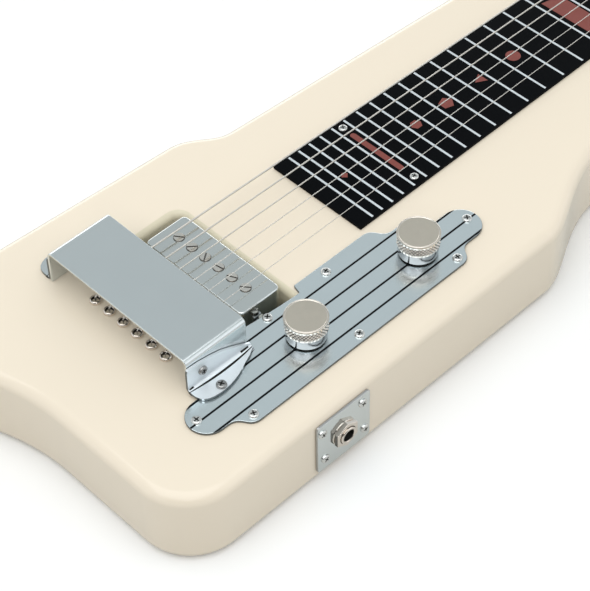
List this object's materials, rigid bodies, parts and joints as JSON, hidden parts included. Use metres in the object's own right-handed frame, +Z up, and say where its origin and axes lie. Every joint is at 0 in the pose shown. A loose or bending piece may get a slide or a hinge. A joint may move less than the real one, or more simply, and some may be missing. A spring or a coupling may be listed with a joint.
{
  "type": "lap steel guitar",
  "caption": "Lap steel guitar: lacquered slab body and neck, bridge under an arched chrome cover, pickup in a routed recess, stepped control plate with knobs, side jack, geared tuners.",
  "frame": {"origin": "middle of the underside of the bounding box, in the plane of the flat back", "axes": "+X from the tail to the head along the strings, +Y to the bass side, +Z up out of the top"},
  "size_m": [0.8108, 0.1902, 0.0643],
  "materials": {
    "cream_lacquer": "gloss",
    "black_board": "semi-gloss",
    "chrome": "polished",
    "nickel": "polished",
    "steel": "satin",
    "brass": "satin",
    "black_plastic": "matte",
    "brown_plastic": "semi-gloss"
  },
  "bodies": {
    "guitar": {"body": "cream_lacquer", "neck": "cream_lacquer", "string_anchor": "nickel", "fretboard": "black_board", "nut": "nickel", "bridge_base": "nickel", "bridge_saddle": "steel", "bridge_cover": "chrome", "cover_bracket_treble": "chrome", "cover_bracket_bass": "chrome", "string_ferrule_1": "nickel", "string_ferrule_2": "nickel", "string_ferrule_3": "nickel", "string_ferrule_4": "nickel", "string_ferrule_5": "nickel", "string_ferrule_6": "nickel", "pickup_cover": "chrome", "pickup_coil": "black_plastic", "pickup_cradle": "steel", "pole_screw_1": "nickel", "pole_screw_2": "nickel", "pole_screw_3": "nickel", "pole_screw_4": "nickel", "pole_screw_5": "nickel", "pole_screw_6": "nickel", "pickup_screw_treble": "nickel", "pickup_screw_bass": "nickel", "pickup_spring_treble": "steel", "pickup_spring_bass": "steel", "control_plate": "chrome", "pot_volume": "steel", "pot_tone": "steel", "tone_capacitor": "brown_plastic", "jack_plate": "chrome", "jack_socket": "nickel", "jack_nut": "nickel", "tuner_plate_treble": "nickel", "tuner_plate_bass": "nickel", "string_1": "steel", "string_2": "steel", "string_3": "steel", "string_4": "steel", "string_5": "steel", "string_6": "steel"},
    "volume_control": {"knob_volume": "nickel", "shaft_volume": "brass"},
    "tone_control": {"knob_tone": "nickel", "shaft_tone": "brass"},
    "key_1": {"tuner_key_1": "nickel"},
    "key_2": {"tuner_key_2": "nickel"},
    "key_3": {"tuner_key_3": "nickel"},
    "key_4": {"tuner_key_4": "nickel"},
    "key_5": {"tuner_key_5": "nickel"},
    "key_6": {"tuner_key_6": "nickel"},
    "post_1": {"tuner_post_1": "nickel"},
    "post_2": {"tuner_post_2": "nickel"},
    "post_3": {"tuner_post_3": "nickel"},
    "post_4": {"tuner_post_4": "nickel"},
    "post_5": {"tuner_post_5": "nickel"},
    "post_6": {"tuner_post_6": "nickel"}
  },
  "joints": [
    {"name": "volume_turn", "type": "hinge", "parent": "guitar", "child": "volume_control", "pos_m": [-0.26825, -0.0536, 0.05], "axis": [0, 0, 1], "range_deg": [-150, 150]},
    {"name": "tone_turn", "type": "hinge", "parent": "guitar", "child": "tone_control", "pos_m": [-0.19465, -0.0536, 0.05], "axis": [0, 0, 1], "range_deg": [-150, 150]},
    {"name": "key_turn_1", "type": "hinge", "parent": "guitar", "child": "key_1", "pos_m": [0.30795, -0.0207, 0.0107], "axis": [0, 1, 0], "continuous": true},
    {"name": "key_turn_2", "type": "hinge", "parent": "guitar", "child": "key_2", "pos_m": [0.34595, -0.0207, 0.0107], "axis": [0, 1, 0], "continuous": true},
    {"name": "key_turn_3", "type": "hinge", "parent": "guitar", "child": "key_3", "pos_m": [0.38395, -0.0207, 0.0107], "axis": [0, 1, 0], "continuous": true},
    {"name": "key_turn_4", "type": "hinge", "parent": "guitar", "child": "key_4", "pos_m": [0.38395, 0.0333, 0.0107], "axis": [0, 1, 0], "continuous": true},
    {"name": "key_turn_5", "type": "hinge", "parent": "guitar", "child": "key_5", "pos_m": [0.34595, 0.0333, 0.0107], "axis": [0, 1, 0], "continuous": true},
    {"name": "key_turn_6", "type": "hinge", "parent": "guitar", "child": "key_6", "pos_m": [0.30795, 0.0333, 0.0107], "axis": [0, 1, 0], "continuous": true},
    {"name": "post_turn_1", "type": "hinge", "parent": "guitar", "child": "post_1", "pos_m": [0.29945, -0.0207, 0.0107], "axis": [0, 0, 1], "continuous": true},
    {"name": "post_turn_2", "type": "hinge", "parent": "guitar", "child": "post_2", "pos_m": [0.33745, -0.0207, 0.0107], "axis": [0, 0, 1], "continuous": true},
    {"name": "post_turn_3", "type": "hinge", "parent": "guitar", "child": "post_3", "pos_m": [0.37545, -0.0207, 0.0107], "axis": [0, 0, 1], "continuous": true},
    {"name": "post_turn_4", "type": "hinge", "parent": "guitar", "child": "post_4", "pos_m": [0.37545, 0.0333, 0.0107], "axis": [0, 0, 1], "continuous": true},
    {"name": "post_turn_5", "type": "hinge", "parent": "guitar", "child": "post_5", "pos_m": [0.33745, 0.0333, 0.0107], "axis": [0, 0, 1], "continuous": true},
    {"name": "post_turn_6", "type": "hinge", "parent": "guitar", "child": "post_6", "pos_m": [0.29945, 0.0333, 0.0107], "axis": [0, 0, 1], "continuous": true}
  ],
  "couplings": [
    {"joint": "post_turn_1", "follows": "key_turn_1", "ratio": -0.071429},
    {"joint": "post_turn_2", "follows": "key_turn_2", "ratio": -0.071429},
    {"joint": "post_turn_3", "follows": "key_turn_3", "ratio": -0.071429},
    {"joint": "post_turn_4", "follows": "key_turn_4", "ratio": -0.071429},
    {"joint": "post_turn_5", "follows": "key_turn_5", "ratio": -0.071429},
    {"joint": "post_turn_6", "follows": "key_turn_6", "ratio": -0.071429}
  ]
}
